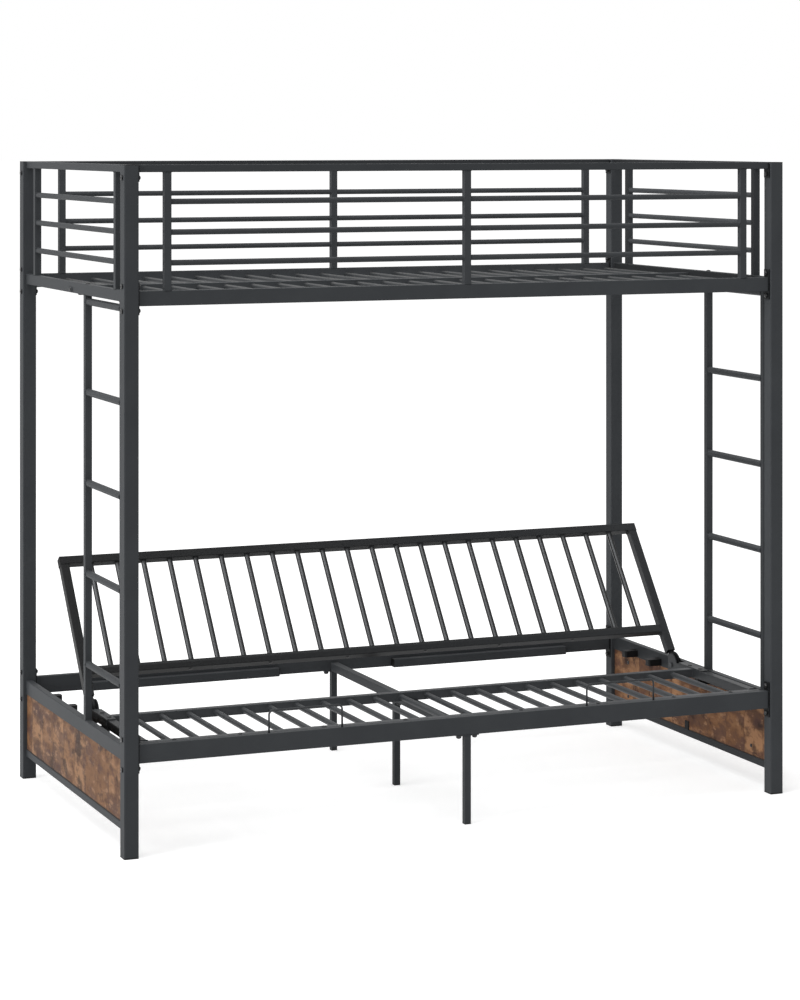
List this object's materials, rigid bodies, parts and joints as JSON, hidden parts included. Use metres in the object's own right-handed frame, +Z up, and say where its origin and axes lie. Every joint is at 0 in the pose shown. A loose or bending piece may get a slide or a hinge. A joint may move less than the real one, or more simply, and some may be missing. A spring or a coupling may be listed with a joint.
{
  "type": "bunk bed",
  "caption": "Metal bunk bed with a slatted upper bunk inside guard rails, a ladder at each end and a lower futon bunk whose slatted backrest folds down flat.",
  "frame": {"origin": "on the floor under the middle of the bed, at the bottom centre of its bounding box", "axes": "+X along the bed to the right as seen from its front, +Y from the front to the back, +Z up"},
  "size_m": [1.987, 1.06, 1.824],
  "materials": {
    "post_coat": "satin textured powder coat",
    "rail_coat": "satin textured powder coat",
    "slat_coat": "satin textured powder coat",
    "futon_coat": "satin textured powder coat",
    "black_coat": "satin black powder coat",
    "wire_coat": "satin powder coat",
    "bolt_coat": "satin dark plating",
    "black_plastic": "matte",
    "wood_board": "matte rustic wood print on board"
  },
  "bodies": {
    "bed_frame": {"back_deck_rail": "rail_coat", "back_guard_bars": "rail_coat", "back_guard_top_rail": "rail_coat", "back_guard_uprights": "rail_coat", "back_lower_rail": "rail_coat", "backrest_ledge_bars": "rail_coat", "board_clips": "black_coat", "centre_leg_feet": "black_plastic", "centre_leg_flanges": "rail_coat", "centre_legs": "rail_coat", "deck_back_slats": "slat_coat", "deck_centre_rail": "rail_coat", "deck_front_slats": "slat_coat", "frame_bolts": "bolt_coat", "frame_nuts": "bolt_coat", "front_deck_rail": "rail_coat", "front_guard_bars": "rail_coat", "front_guard_top_rail": "rail_coat", "front_guard_uprights": "rail_coat", "front_lower_rail": "rail_coat", "hinge_pawls": "black_coat", "hinge_pins": "futon_coat", "hinge_seat_ears": "futon_coat", "left_end_bottom_rail": "rail_coat", "left_end_deck_rail": "rail_coat", "left_end_guard_bars": "rail_coat", "left_end_guard_uprights": "rail_coat", "left_end_lower_rail": "rail_coat", "left_end_top_rail": "rail_coat", "left_ladder_rails": "rail_coat", "left_ladder_rungs": "rail_coat", "left_wood_board": "wood_board", "lower_cross_beam": "rail_coat", "mattress_hoops": "wire_coat", "post_back_left": "post_coat", "post_back_right": "post_coat", "post_foot_caps": "black_plastic", "post_front_left": "post_coat", "post_front_right": "post_coat", "post_top_plugs": "black_plastic", "rail_end_plates": "black_coat", "rest_pegs": "black_plastic", "right_end_bottom_rail": "rail_coat", "right_end_deck_rail": "rail_coat", "right_end_guard_bars": "rail_coat", "right_end_guard_uprights": "rail_coat", "right_end_lower_rail": "rail_coat", "right_end_top_rail": "rail_coat", "right_ladder_rails": "rail_coat", "right_ladder_rungs": "rail_coat", "right_wood_board": "wood_board", "seat_back_rail": "futon_coat", "seat_front_tube": "futon_coat", "seat_side_tubes": "futon_coat", "seat_slats": "futon_coat"},
    "backrest": {"backrest_bars": "futon_coat", "backrest_lower_rail": "futon_coat", "backrest_side_tubes": "futon_coat", "backrest_top_rail": "futon_coat", "hinge_backrest_ears": "black_coat"}
  },
  "joints": [
    {"name": "backrest_fold", "type": "hinge", "parent": "bed_frame", "child": "backrest", "pos_m": [0, 0.005, 0.2848], "axis": [1, 0, 0], "range_deg": [-52, 20]}
  ]
}
